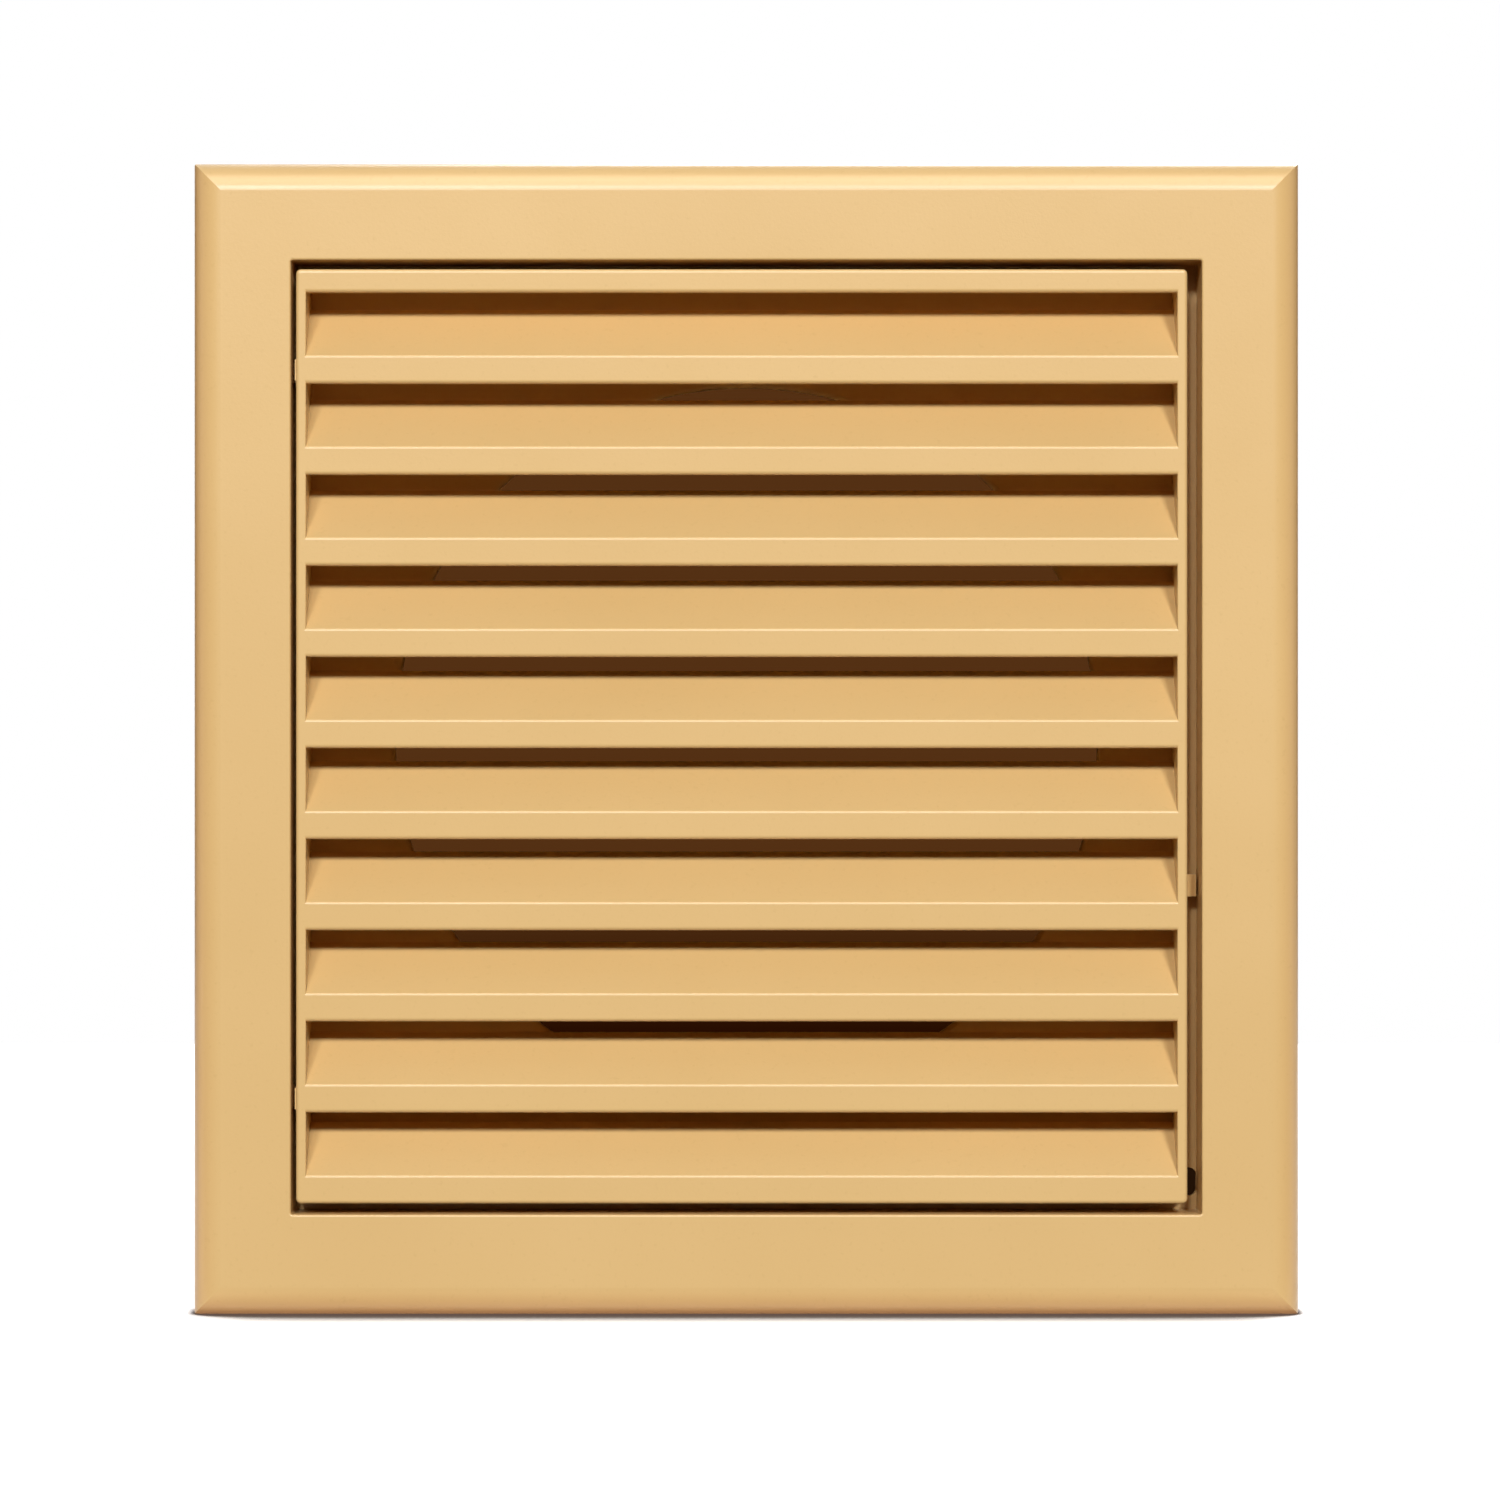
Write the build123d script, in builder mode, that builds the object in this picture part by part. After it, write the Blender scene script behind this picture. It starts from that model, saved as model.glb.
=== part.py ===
from build123d import *
import os

# Exterior ventilation grille: a moulded frame with a duct spigot, and a louvre panel that clips into it.
# Sizes are in millimetres. +X is right, +Z is up and +Y goes into the wall, so the front faces -Y.
# The origin is on the axis of the duct, in the plane of the wall.

# Frame: outer block, flange and walls
frame_width = 240.0
frame_height = 250.0
frame_depth = 20.0
frame_wall = 2.5
edge_radius = 6.2
corner_radius = 0.8
flange_side = 21.35
flange_top = 21.3
flange_bottom = 22.0

# Frame: recess that takes the louvre panel
recess_corner = 0.5
mouth_radius = 0.5
floor_thickness = 2.5
floor_setback = 1.0

# Frame: ribs in the hollow behind the flange
rib_thickness = 1.8
rib_count = 5
rib_inset = 12.0
rib_setback = 2.0

# Frame: spigot that goes into the duct
spigot_diameter = 159.0
spigot_wall = 2.5
spigot_length = 45.0
spigot_lead = 1.2
bore_radius = 1.0

# Frame: fixing slots in the corners of the recess floor, each on a pad that reaches the wall
fixing_width = 4.5
fixing_length = 8.0
fixing_inset_x = 14.5
fixing_inset_z = 14.5
pad_margin = 3.5

# Louvre panel: gaps left round it in the recess
gap_left = 1.1
gap_right = 3.1
gap_top = 1.95
gap_bottom = 2.35

# Louvre panel: walls and edges
panel_wall = 2.2
panel_corner = 1.1
panel_edge = 0.8
slot_edge = 0.35
top_border = 5.05

# Louvre panel: slats, each a front lip with a blade that slopes up and back
slat_count = 10
lip_height = 5.95
lip_thickness = 2.0
blade_depth = 14.0
blade_rise = 11.8
blade_thickness = 2.4
blade_tip = 0.8

# Hooks on the left side of the panel, at two of the slats, in windows of the recess wall
hook_slats = (1, 9)
hook_height = 4.6
hook_thickness = 2.0
hook_reach = 2.4
hook_setback = 8.0
hook_rib = 0.25
window_clearance = 0.4

# Catch on the frame, in the right gap, with a nose in a window of the panel's side wall
catch_height = 4.8
catch_thickness = 2.2
catch_slope = 1.2
catch_clearance = 0.35
catch_setback = 8.5
catch_drop = 32.45
nose_bite = 0.6
nose_length = 3.0

# Small tooling hole through the recess floor, at the lower right
tool_hole_width = 3.2
tool_hole_length = 6.2
tool_hole_margin = 0.05
tool_hole_rise = 6.0

# Places worked out from the sizes above
front = -frame_depth
floor_back = -floor_setback
floor_front = floor_back - floor_thickness
recess_depth = floor_front - front
recess_width = frame_width - 2 * flange_side
recess_height = frame_height - flange_top - flange_bottom
recess_rise = (flange_bottom - flange_top) / 2
recess_left = -recess_width / 2
recess_right = recess_width / 2
recess_top = frame_height / 2 - flange_top
recess_bottom = flange_bottom - frame_height / 2
rib_spacing_x = (recess_width - 2 * rib_inset) / (rib_count - 1)
rib_spacing_z = (recess_height - 2 * rib_inset) / (rib_count - 1)
spigot_bore = spigot_diameter - 2 * spigot_wall
tool_hole_level = recess_bottom + tool_hole_rise

panel_left = recess_left + gap_left
panel_right = recess_right - gap_right
panel_top = recess_top - gap_top
panel_bottom = recess_bottom + gap_bottom
panel_width = panel_right - panel_left
panel_height = panel_top - panel_bottom
panel_middle = ((panel_left + panel_right) / 2, (panel_top + panel_bottom) / 2)
slat_pitch = (panel_height - top_border) / slat_count

hook_front = front + hook_setback
catch_level = panel_middle[1] - catch_drop
catch_front = front + catch_setback
catch_inner = panel_right + catch_clearance
catch_outer = catch_inner + catch_thickness
nose_tip = panel_right - nose_bite
nose_back = catch_front + nose_length
blade_slope = blade_rise / blade_depth


def slat_bottom(number):
    """Height of the lower edge of a slat's lip, counted from 1 at the top."""
    return panel_top - top_border - number * slat_pitch


def hook_level(number):
    """Middle height of the hook beside a slat's lip."""
    return slat_bottom(number) + lip_height / 2


def rounded_block(width, height, depth, radius):
    """Block that stands forward from the wall plane, with rounded front edges that meet in mitres."""
    with BuildPart() as block:
        with BuildSketch(Plane.XZ):
            Rectangle(width, height)
        extrude(amount=depth)
        fillet(block.faces().sort_by(Axis.Y)[0].edges(), radius)
    return block.part


# Hollow behind the flange: the space between the outer skirt and the recess wall, less the ribs
with BuildPart() as hollow:
    add(rounded_block(
        frame_width - 2 * frame_wall,
        frame_height - 2 * frame_wall,
        frame_depth - frame_wall,
        max(edge_radius - frame_wall, corner_radius),
    ))
    with BuildSketch(Plane.XZ):
        with Locations((0, recess_rise)):
            Rectangle(recess_width + 2 * frame_wall, recess_height + 2 * frame_wall)
    extrude(amount=frame_depth, mode=Mode.SUBTRACT)
    with BuildSketch(Plane.XZ.offset(rib_setback)):
        with Locations((0, recess_rise)):
            with GridLocations(0, rib_spacing_z, 1, rib_count):
                Rectangle(frame_width, rib_thickness)
            with GridLocations(rib_spacing_x, 0, rib_count, 1):
                Rectangle(rib_thickness, frame_height)
    extrude(amount=frame_depth, mode=Mode.SUBTRACT)


# Frame, moulded in one piece with the recess floor and the spigot
with BuildPart() as outer_frame:
    add(rounded_block(frame_width, frame_height, frame_depth, edge_radius))
    with BuildSketch(Plane.XZ):
        RectangleRounded(frame_width, frame_height, corner_radius)
    extrude(amount=frame_depth, mode=Mode.INTERSECT)
    add(hollow.part, mode=Mode.SUBTRACT)

    # Recess for the louvre panel, with a soft edge round its mouth
    with BuildSketch(Plane.XZ.offset(-front)):
        with Locations((0, recess_rise)):
            RectangleRounded(recess_width, recess_height, recess_corner)
    extrude(amount=-recess_depth, mode=Mode.SUBTRACT)
    flange_face = outer_frame.faces().sort_by(Axis.Y)[0]
    fillet(flange_face.inner_wires()[0].edges(), mouth_radius)

    # Back of the recess floor, set in from the wall plane, with a pad round each fixing slot
    with BuildSketch(Plane.XZ):
        with Locations((0, recess_rise)):
            RectangleRounded(recess_width, recess_height, recess_corner)
            with GridLocations(recess_width - 2 * fixing_inset_x, recess_height - 2 * fixing_inset_z, 2, 2):
                SlotOverall(fixing_length + 2 * pad_margin, fixing_width + 2 * pad_margin, mode=Mode.SUBTRACT)
    extrude(amount=-floor_back, mode=Mode.SUBTRACT)

    # Spigot and its bore
    with BuildSketch(Plane.XZ.offset(-floor_back)):
        Circle(spigot_diameter / 2)
    extrude(amount=-(spigot_length - floor_back))
    with BuildSketch(Plane.XZ.offset(-floor_front)):
        Circle(spigot_bore / 2)
    extrude(amount=-(spigot_length - floor_front), mode=Mode.SUBTRACT)
    bore_mouth = outer_frame.edges(Select.LAST).filter_by(GeomType.CIRCLE).sort_by(Axis.Y)[0]
    fillet(bore_mouth, bore_radius)
    spigot_rim = outer_frame.faces().sort_by(Axis.Y)[-1]
    chamfer(spigot_rim.outer_wire().edges(), spigot_lead, spigot_lead / 2)

    # Fixing slots
    with BuildSketch(Plane.XZ):
        with Locations((0, recess_rise)):
            with GridLocations(recess_width - 2 * fixing_inset_x, recess_height - 2 * fixing_inset_z, 2, 2):
                SlotOverall(fixing_length, fixing_width)
    extrude(amount=-floor_front, mode=Mode.SUBTRACT)

    # Tooling hole beside the right wall of the recess
    with BuildSketch(Plane.XZ):
        with Locations((recess_right - tool_hole_margin - tool_hole_width / 2, tool_hole_level)):
            SlotOverall(tool_hole_length, tool_hole_width, rotation=90)
    extrude(amount=-floor_front, mode=Mode.SUBTRACT)

    # Windows in the left wall of the recess for the panel's hooks
    for number in hook_slats:
        with BuildSketch(Plane.XZ.offset(-hook_front + window_clearance)):
            with Locations((recess_left, hook_level(number))):
                Rectangle(2 * frame_wall, hook_height + 2 * window_clearance)
        extrude(amount=-(hook_thickness + 2 * window_clearance), mode=Mode.SUBTRACT)

    # Catch: an arm on the recess floor with a hooked nose towards the panel
    with BuildSketch(Plane.XY.offset(catch_level)):
        with BuildLine():
            Polyline(
                (catch_inner, floor_front),
                (catch_inner, nose_back),
                (nose_tip, nose_back),
                (catch_inner, catch_front),
                (catch_outer, catch_front + catch_slope),
                (catch_outer, floor_front),
                close=True,
            )
        make_face()
    extrude(amount=catch_height / 2, both=True)


# Section of one slat, from the lower front corner of its lip
with BuildSketch() as slat:
    with BuildLine():
        Polyline(
            (0, 0),
            (0, lip_height),
            (blade_depth, lip_height + blade_rise),
            (blade_depth, lip_height + blade_rise - blade_thickness),
            (lip_thickness, lip_height + blade_slope * lip_thickness - blade_thickness),
            (lip_thickness, 0),
            close=True,
        )
    make_face()
    fillet(slat.vertices().group_by(Axis.X)[0], panel_edge)
    fillet(slat.vertices().group_by(Axis.X)[-1], blade_tip)


# Section of the lip under the panel's top side, from its upper front corner
with BuildSketch() as top_lip:
    Rectangle(lip_thickness, top_border - panel_edge, align=(Align.MIN, Align.MAX))
    fillet(top_lip.vertices().group_by(Axis.X)[0].sort_by(Axis.Y)[0], panel_edge)


# Louvre panel, moulded in one piece
with BuildPart() as louvre_panel:
    # Rim that stands on the recess floor
    with BuildSketch(Plane.XZ.offset(-floor_front)):
        with Locations(panel_middle):
            RectangleRounded(panel_width, panel_height, panel_corner)
            Rectangle(panel_width - 2 * panel_wall, panel_height - 2 * panel_wall, mode=Mode.SUBTRACT)
    extrude(amount=recess_depth)
    rim_front = louvre_panel.faces().sort_by(Axis.Y)[0]
    fillet(rim_front.inner_wires()[0].edges().filter_by(Axis.Z), slot_edge)
    rim_front = louvre_panel.faces().sort_by(Axis.Y)[0]
    fillet(rim_front.outer_wire().edges(), panel_edge)

    # Slats and top lip, from half way into one side wall to half way into the other
    with BuildSketch(Plane.YZ.offset(panel_middle[0])):
        with Locations(*[(front, slat_bottom(number)) for number in range(1, slat_count + 1)]):
            add(slat.sketch)
        with Locations((front, panel_top - panel_edge)):
            add(top_lip.sketch)
    extrude(amount=(panel_width - panel_wall) / 2, both=True)

    # Hooks on the left side, each at the end of a shallow rib from the front edge
    for number in hook_slats:
        with BuildSketch(Plane.XZ.offset(-hook_front)):
            with Locations((panel_left + panel_wall / 2, hook_level(number))):
                Rectangle(hook_reach + panel_wall / 2, hook_height, align=(Align.MAX, Align.CENTER))
        extrude(amount=-hook_thickness)
        with BuildSketch(Plane.XZ.offset(-hook_front)):
            with Locations((panel_left + panel_wall / 2 - hook_rib, hook_level(number))):
                Rectangle(panel_wall, hook_height)
        extrude(amount=hook_setback - panel_edge)

    # Window for the nose of the catch in the right side
    with BuildSketch(Plane.XZ.offset(-catch_front + window_clearance)):
        with Locations((panel_right, catch_level)):
            Rectangle(2 * (nose_bite + window_clearance), catch_height + 2 * window_clearance)
    extrude(amount=-(nose_length + 2 * window_clearance), mode=Mode.SUBTRACT)


outer_frame.part.label = "outer_frame"
louvre_panel.part.label = "louvre_panel"

os.makedirs("parts", exist_ok=True)
export_step(outer_frame.part, "parts/outer_frame.step")
export_step(louvre_panel.part, "parts/louvre_panel.step")
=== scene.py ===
import math

import bpy
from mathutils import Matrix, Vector


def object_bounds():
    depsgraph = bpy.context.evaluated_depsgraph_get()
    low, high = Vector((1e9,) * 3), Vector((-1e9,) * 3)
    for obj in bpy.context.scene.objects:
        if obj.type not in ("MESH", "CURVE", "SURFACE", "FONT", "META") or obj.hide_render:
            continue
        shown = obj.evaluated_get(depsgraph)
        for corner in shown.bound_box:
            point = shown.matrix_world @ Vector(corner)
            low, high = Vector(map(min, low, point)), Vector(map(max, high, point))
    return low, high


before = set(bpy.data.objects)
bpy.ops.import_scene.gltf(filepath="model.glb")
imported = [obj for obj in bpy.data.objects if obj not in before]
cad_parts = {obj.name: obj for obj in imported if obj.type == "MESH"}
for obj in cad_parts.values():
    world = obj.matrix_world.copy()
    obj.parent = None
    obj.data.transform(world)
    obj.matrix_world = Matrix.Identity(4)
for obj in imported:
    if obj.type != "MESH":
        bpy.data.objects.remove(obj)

# Lengths are in metres and colours are linear. The front of the grille faces -Y.
cad_box = [list(corner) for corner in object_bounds()]
half_width = cad_box[1][0]
floor_level = cad_box[0][2]

# Camera, from the photo's perspective: square on, 1.32 m in front of the flange
CAMERA_PLACE = (0.0008, -1.339, -0.0024)
CAMERA_LENS = 146.2
CAMERA_SENSOR = 36.0

# Moulded plastic: scales are noise features per metre
SAND_LIGHT = (0.752, 0.497, 0.208, 1.0)
SAND_DEEP = (0.728, 0.476, 0.194, 1.0)
SAND_SPECK = (0.655, 0.415, 0.158, 1.0)
CLOUD_SCALE = 14.0
CLOUD_START, CLOUD_FULL = 0.3, 0.7
SPECK_SCALE = 900.0
SPECK_START, SPECK_FULL = 0.60, 0.78
SPECK_STRENGTH = 0.35
GLOSS_SCALE = 60.0
ROUGHNESS = (0.28, 0.34)
SPECULAR = 0.40
GRAIN_SCALE = 1400.0
GRAIN_STRENGTH = 0.10
GRAIN_HEIGHT = 0.0002

# White room and floor: the floor's contact shadow is painted into its colour, and reaches less far
# beside the part than in front of it
ROOM_LEVEL = 0.02
ROOM_TOP = 0.6
FLOOR_SIZE = 2.4
FLOOR_WHITE = (0.9, 0.9, 0.9, 1.0)
FLOOR_SHADOW = (0.09, 0.07, 0.06, 1.0)
FLOOR_GLOW = 0.7
SHADOW_DEEP, SHADOW_END = 0.55, 0.8
SHADOW_FADE = (half_width - 0.012, half_width + 0.001)
SHADOW_REACH = (0.03, 0.004)

# Painted shade: dark backings for the duct (darker towards the bottom), the wall behind the fixing
# slots, and the small hole at the lower right
DUCT_PAINTED_SHADE = (0.088, 0.030, 0.007, 1.0)
DUCT_PAINTED_SHADE_LOW = (0.020, 0.004, 0.0005, 1.0)
DUCT_SHADE_FADE = (-0.064, -0.028)
DUCT_RADIUS = 0.0778
DUCT_DEPTH = -0.0015
WALL_HALF = half_width - 0.003
WALL_OPENING = 0.0797
WALL_DEPTH = 0.0005
HOLE_PAINTED_SHADE = (0.016, 0.006, 0.002, 1.0)
HOLE_LEFT, HOLE_RIGHT = 0.0935, 0.0995
HOLE_BOTTOM, HOLE_TOP = -0.1015, -0.0925
HOLE_DEPTH = -0.0009
ROUND_POINTS = 96

# Black cards that only reflections see
CARD_HALF = 1.5
CARD_FRONT, CARD_BACK = -1.7, 3.0
CARD_BOTTOM, CARD_TOP, WING_TOP = -0.9, 0.3, 1.0
FOOT_BACK = -0.03
FOOT_LEVEL = floor_level + 0.001

# Lights: the keys stand on an arc in front, at angles from straight ahead
KEY_DISTANCE = 4.39
KEY_HEIGHT = 1.792
KEY_TALL = 0.50
EDGE_GLOW = (1.0, 0.72, 0.68)


def grey(level):
    return (level, level, level, 1.0)


def new_material(name):
    material = bpy.data.materials.new(name)
    material.use_nodes = True
    material.node_tree.nodes.clear()
    return material, material.node_tree.nodes, material.node_tree.links


def noise(nodes, links, place, scale, detail, roughness=0.5):
    node = nodes.new("ShaderNodeTexNoise")
    node.inputs["Scale"].default_value = scale
    node.inputs["Detail"].default_value = detail
    node.inputs["Roughness"].default_value = roughness
    links.new(place, node.inputs["Vector"])
    return node.outputs["Fac"]


def ramp(nodes, links, value, start, start_color, end, end_color):
    """Colour that changes from one to the other as the value goes from start to end."""
    node = nodes.new("ShaderNodeValToRGB")
    stops = ((start, start_color), (end, end_color))
    for element, (position, color) in zip(node.color_ramp.elements, stops):
        element.position = position
        element.color = color
    links.new(value, node.inputs["Fac"])
    return node.outputs["Color"]


def map_range(nodes, links, value, old, new):
    node = nodes.new("ShaderNodeMapRange")
    node.inputs["From Min"].default_value, node.inputs["From Max"].default_value = old
    node.inputs["To Min"].default_value, node.inputs["To Max"].default_value = new
    links.new(value, node.inputs["Value"])
    return node.outputs["Result"]


def coordinate(nodes, links, space, axis):
    coords = nodes.new("ShaderNodeTexCoord")
    split = nodes.new("ShaderNodeSeparateXYZ")
    links.new(coords.outputs[space], split.inputs["Vector"])
    return split.outputs[axis]


def math_node(nodes, links, operation, first, second=0.0):
    """Result of a math node, held between 0 and 1. The second input is a number or an output."""
    node = nodes.new("ShaderNodeMath")
    node.operation = operation
    node.use_clamp = True
    links.new(first, node.inputs[0])
    if isinstance(second, float):
        node.inputs[1].default_value = second
    else:
        links.new(second, node.inputs[1])
    return node.outputs["Value"]


def mix_shaders(nodes, links, factor, first, second):
    node = nodes.new("ShaderNodeMixShader")
    links.new(factor, node.inputs["Fac"])
    links.new(first, node.inputs[1])
    links.new(second, node.inputs[2])
    return node.outputs["Shader"]


def moulded_plastic(name, seed):
    """Sand-coloured plastic: faint cloudy tint, fine darker specks and a fine moulded grain.

    The seed shifts the pattern, so that no two pieces have the same one.
    """
    material, nodes, links = new_material(name)
    output = nodes.new("ShaderNodeOutputMaterial")
    shader = nodes.new("ShaderNodeBsdfPrincipled")
    coords = nodes.new("ShaderNodeTexCoord")
    shift = nodes.new("ShaderNodeMapping")
    shift.inputs["Location"].default_value = (seed, seed * 0.7, seed * 0.3)
    links.new(coords.outputs["Object"], shift.inputs["Vector"])
    place = shift.outputs["Vector"]

    cloud = noise(nodes, links, place, CLOUD_SCALE, detail=3.0)
    tint = ramp(nodes, links, cloud, CLOUD_START, SAND_DEEP, CLOUD_FULL, SAND_LIGHT)
    speck = noise(nodes, links, place, SPECK_SCALE, detail=2.0)
    speck_mask = ramp(nodes, links, speck, SPECK_START, grey(0.0), SPECK_FULL, grey(SPECK_STRENGTH))
    color = nodes.new("ShaderNodeMix")
    color.data_type = "RGBA"
    color.inputs["B"].default_value = SAND_SPECK
    links.new(speck_mask, color.inputs["Factor"])
    links.new(tint, color.inputs["A"])
    links.new(color.outputs["Result"], shader.inputs["Base Color"])

    gloss = noise(nodes, links, place, GLOSS_SCALE, detail=4.0)
    links.new(map_range(nodes, links, gloss, (0.0, 1.0), ROUGHNESS), shader.inputs["Roughness"])
    shader.inputs["Specular IOR Level"].default_value = SPECULAR

    grain = noise(nodes, links, place, GRAIN_SCALE, detail=2.0, roughness=0.6)
    bump = nodes.new("ShaderNodeBump")
    bump.inputs["Strength"].default_value = GRAIN_STRENGTH
    bump.inputs["Distance"].default_value = GRAIN_HEIGHT
    links.new(grain, bump.inputs["Height"])
    links.new(bump.outputs["Normal"], shader.inputs["Normal"])

    links.new(shader.outputs["BSDF"], output.inputs["Surface"])
    return material


def first_look(nodes, links):
    """1 for a ray that no matte surface has scattered yet."""
    path = nodes.new("ShaderNodeLightPath")
    return math_node(nodes, links, "LESS_THAN", path.outputs["Diffuse Depth"], 0.5)


def seen(nodes, links):
    """1 for rays that see the background: the camera's own, reflected and transmitted ones."""
    path = nodes.new("ShaderNodeLightPath")
    total = path.outputs["Is Camera Ray"]
    for name in ("Is Glossy Ray", "Is Transmission Ray"):
        total = math_node(nodes, links, "MAXIMUM", total, path.outputs[name])
    return math_node(nodes, links, "MULTIPLY", total, first_look(nodes, links))


def white_world():
    """White where it is seen, and a dim room, dark below, where it only lights."""
    world = bpy.data.worlds.new("studio")
    world.use_nodes = True
    nodes, links = world.node_tree.nodes, world.node_tree.links
    nodes.clear()
    output = nodes.new("ShaderNodeOutputWorld")
    white = nodes.new("ShaderNodeBackground")
    white.inputs["Color"].default_value = grey(1.0)
    room = nodes.new("ShaderNodeBackground")
    up = coordinate(nodes, links, "Generated", "Z")
    sky = ramp(nodes, links, up, 0.0, grey(0.0), ROOM_TOP, grey(ROOM_LEVEL))
    links.new(sky, room.inputs["Color"])
    look = mix_shaders(nodes, links, seen(nodes, links), room.outputs[0], white.outputs[0])
    links.new(look, output.inputs["Surface"])
    bpy.context.scene.world = world


def pale_floor():
    """White floor that still takes the object's shadow from the lamps, with a contact shadow
    painted into its colour where the part is near.
    """
    material, nodes, links = new_material("floor_white")
    output = nodes.new("ShaderNodeOutputMaterial")
    contact = nodes.new("ShaderNodeAmbientOcclusion")
    aside = math_node(nodes, links, "ABSOLUTE", coordinate(nodes, links, "Object", "X"))
    links.new(map_range(nodes, links, aside, SHADOW_FADE, SHADOW_REACH), contact.inputs["Distance"])
    openness = contact.outputs["AO"]
    # Painted contact shadow: the floor's colour darkens where the part is near.
    pale = ramp(nodes, links, openness, SHADOW_DEEP, FLOOR_SHADOW, SHADOW_END, FLOOR_WHITE)
    lit = nodes.new("ShaderNodeBsdfDiffuse")
    glow = nodes.new("ShaderNodeEmission")
    links.new(pale, lit.inputs["Color"])
    links.new(pale, glow.inputs["Color"])
    strength = math_node(nodes, links, "MULTIPLY", seen(nodes, links), FLOOR_GLOW)
    links.new(strength, glow.inputs["Strength"])
    both = nodes.new("ShaderNodeAddShader")
    links.new(lit.outputs["BSDF"], both.inputs[0])
    links.new(glow.outputs["Emission"], both.inputs[1])
    links.new(both.outputs["Shader"], output.inputs["Surface"])

    bpy.ops.mesh.primitive_plane_add(size=FLOOR_SIZE, location=(0, 0, floor_level))
    floor = bpy.context.object
    floor.name = "floor"
    floor.data.materials.append(material)
    floor.visible_diffuse = False
    floor.visible_shadow = False


def new_object(name, verts, faces, material):
    mesh = bpy.data.meshes.new(name)
    mesh.from_pydata(verts, [], faces)
    mesh.update()
    mesh.materials.append(material)
    item = bpy.data.objects.new(name, mesh)
    bpy.context.collection.objects.link(item)
    return item


def black_card(name, corners):
    """Card that only reflections see, to keep them dark."""
    material, nodes, links = new_material(name)
    output = nodes.new("ShaderNodeOutputMaterial")
    matte = nodes.new("ShaderNodeBsdfDiffuse")
    matte.inputs["Color"].default_value = grey(0.0)
    links.new(matte.outputs["BSDF"], output.inputs["Surface"])
    card = new_object(name, corners, [(0, 1, 2, 3)], material)
    card.visible_camera = False
    card.visible_shadow = False
    card.visible_diffuse = False


def painted_shade_backing(name, outline, hole, depth, low_color, high_color, stops_light):
    """Painted shade: a dark backdrop behind the part, in place of the shaded wall and duct, that
    glows for the camera only. It isn't there from behind.

    Its painted shade runs from low_color below to high_color above. A hole has as many points as
    the outline. With stops_light the backdrop also stops light that comes from the front, and
    without it only the camera sees it.
    """
    material, nodes, links = new_material(name)
    output = nodes.new("ShaderNodeOutputMaterial")
    path = nodes.new("ShaderNodeLightPath")
    camera_ray = path.outputs["Is Camera Ray"]
    dark = nodes.new("ShaderNodeEmission")
    height = map_range(nodes, links, coordinate(nodes, links, "Object", "Z"), DUCT_SHADE_FADE, (0.0, 1.0))
    links.new(ramp(nodes, links, height, 0.0, low_color, 1.0, high_color), dark.inputs["Color"])
    links.new(camera_ray, dark.inputs["Strength"])
    clear = nodes.new("ShaderNodeBsdfTransparent")
    surface = nodes.new("ShaderNodeNewGeometry")
    stops = math_node(nodes, links, "MAXIMUM", camera_ray, float(stops_light))
    front_only = math_node(nodes, links, "SUBTRACT", stops, surface.outputs["Backfacing"])
    look = mix_shaders(nodes, links, front_only, clear.outputs["BSDF"], dark.outputs["Emission"])
    links.new(look, output.inputs["Surface"])

    count = len(outline)
    verts = [(x, depth, z) for x, z in outline + hole]
    faces = [tuple(range(count))]
    if hole:
        faces = [(i, (i + 1) % count, count + (i + 1) % count, count + i) for i in range(count)]
    backing = new_object(name, verts, faces, material)
    if backing.data.polygons[0].normal.y > 0:
        backing.data.flip_normals()


def circle(radius):
    angles = [2 * math.pi * i / ROUND_POINTS for i in range(ROUND_POINTS)]
    return [(radius * math.cos(angle), radius * math.sin(angle)) for angle in angles]


def square(half):
    """Points of a square, one on the same ray from the middle as each point of a circle."""
    points = []
    for x, z in circle(1.0):
        stretch = half / max(abs(x), abs(z))
        points.append((x * stretch, z * stretch))
    return points


def area_light(name, place, size, energy):
    """Rectangular light that faces the middle of the part."""
    data = bpy.data.lights.new(name, "AREA")
    data.shape = "RECTANGLE"
    data.size, data.size_y = size
    data.energy = energy
    lamp = bpy.data.objects.new(name, data)
    lamp.location = place
    lamp.rotation_euler = (-Vector(place)).to_track_quat("-Z", "Y").to_euler()
    bpy.context.collection.objects.link(lamp)
    return lamp


def key_light(name, angle, width, energy):
    turn = math.radians(angle)
    place = (KEY_DISTANCE * math.sin(turn), -KEY_DISTANCE * math.cos(turn), KEY_HEIGHT)
    area_light(name, place, (width, KEY_TALL), energy)


def edge_light(name, place, size, energy):
    """Warm light from the side or below that misses the front's flat faces and isn't reflected."""
    lamp = area_light(name, place, size, energy)
    lamp.data.color = EDGE_GLOW
    lamp.visible_glossy = False


def gloss_light(name, place, size, energy):
    """Light that shows only in reflections, and not in those that light up matte surfaces."""
    lamp = area_light(name, place, size, energy)
    lamp.visible_diffuse = False
    lamp.data.use_nodes = True
    nodes, links = lamp.data.node_tree.nodes, lamp.data.node_tree.links
    links.new(first_look(nodes, links), nodes["Emission"].inputs["Strength"])


# Materials
for node_name, seed in (("outer_frame", 0.0), ("louvre_panel", 3.7)):
    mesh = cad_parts[node_name].data
    mesh.materials.clear()
    mesh.materials.append(moulded_plastic(node_name + "_plastic", seed))

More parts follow.
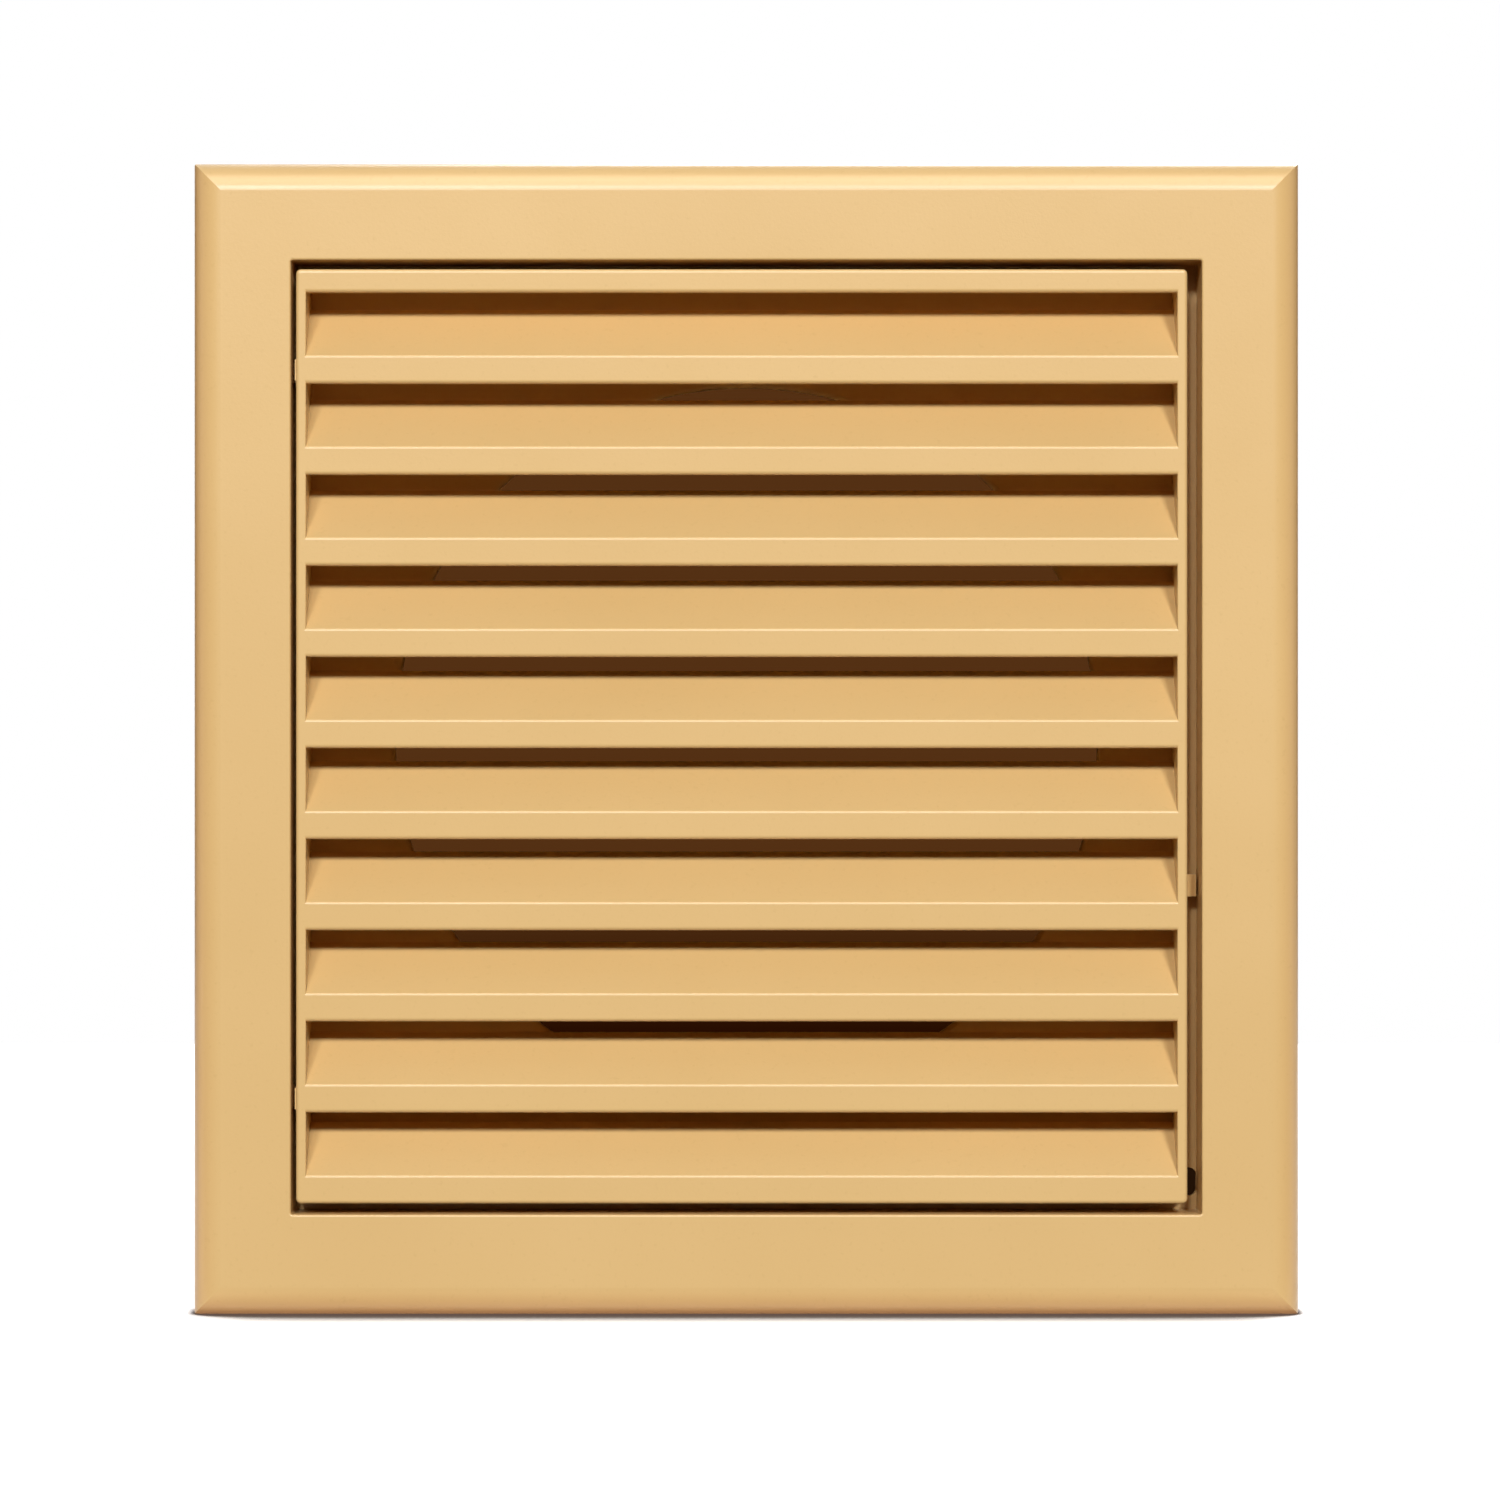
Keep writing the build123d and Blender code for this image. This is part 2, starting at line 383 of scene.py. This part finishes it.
# Stage
white_world()
pale_floor()
hole_card = [
    (HOLE_LEFT, HOLE_BOTTOM),
    (HOLE_RIGHT, HOLE_BOTTOM),
    (HOLE_RIGHT, HOLE_TOP),
    (HOLE_LEFT, HOLE_TOP),
]
# Painted shade in the duct, darker towards the bottom.
painted_shade_backing("duct_painted_shade", circle(DUCT_RADIUS), [], DUCT_DEPTH, DUCT_PAINTED_SHADE_LOW, DUCT_PAINTED_SHADE, True)
# Painted shade behind the fixing slots and the small hole at the lower right.
painted_shade_backing(
    "wall_painted_shade", square(WALL_HALF), circle(WALL_OPENING), WALL_DEPTH, HOLE_PAINTED_SHADE, HOLE_PAINTED_SHADE, False
)
painted_shade_backing("hole_painted_shade", hole_card, [], HOLE_DEPTH, HOLE_PAINTED_SHADE, HOLE_PAINTED_SHADE, True)

black_card("black_foot", [
    (-CARD_HALF, CARD_FRONT, FOOT_LEVEL),
    (CARD_HALF, CARD_FRONT, FOOT_LEVEL),
    (CARD_HALF, FOOT_BACK, FOOT_LEVEL),
    (-CARD_HALF, FOOT_BACK, FOOT_LEVEL),
])
black_card("black_card", [
    (-CARD_HALF, CARD_FRONT, CARD_BOTTOM),
    (CARD_HALF, CARD_FRONT, CARD_BOTTOM),
    (CARD_HALF, CARD_FRONT, CARD_TOP),
    (-CARD_HALF, CARD_FRONT, CARD_TOP),
])
for side in (-CARD_HALF, CARD_HALF):
    black_card("black_wing" + str(side), [
        (side, CARD_FRONT, CARD_BOTTOM),
        (side, CARD_BACK, CARD_BOTTOM),
        (side, CARD_BACK, WING_TOP),
        (side, CARD_FRONT, WING_TOP),
    ])

# Lights
key_light("key_left", angle=-14.0, width=0.62, energy=80.0)
key_light("key_middle", angle=-5.0, width=0.32, energy=46.5)
key_light("key_right", angle=14.0, width=0.62, energy=126.0)
edge_light("side_left", place=(-1.5, 0.13, 0.0), size=(0.5, 0.9), energy=5.6)
edge_light("side_right", place=(1.5, 0.13, 0.0), size=(0.5, 0.9), energy=4.2)
edge_light("under", place=(0.0, 0.05, -1.4), size=(1.4, 0.4), energy=11.0)
gloss_light("gloss", place=(0.0, -0.86, 1.22), size=(2.4, 0.9), energy=36.0)
area_light("back_fill", place=(0.6, 1.6, 1.2), size=(1.6, 1.2), energy=30.0)

# Camera
camera_data = bpy.data.cameras.new("camera")
camera_data.lens = CAMERA_LENS
camera_data.sensor_width = CAMERA_SENSOR
camera_data.sensor_fit = "HORIZONTAL"
camera = bpy.data.objects.new("camera", camera_data)
camera.location = CAMERA_PLACE
camera.rotation_euler = (math.radians(90), 0, 0)
bpy.context.collection.objects.link(camera)
bpy.context.scene.camera = camera

bpy.context.scene.view_settings.view_transform = "Standard"
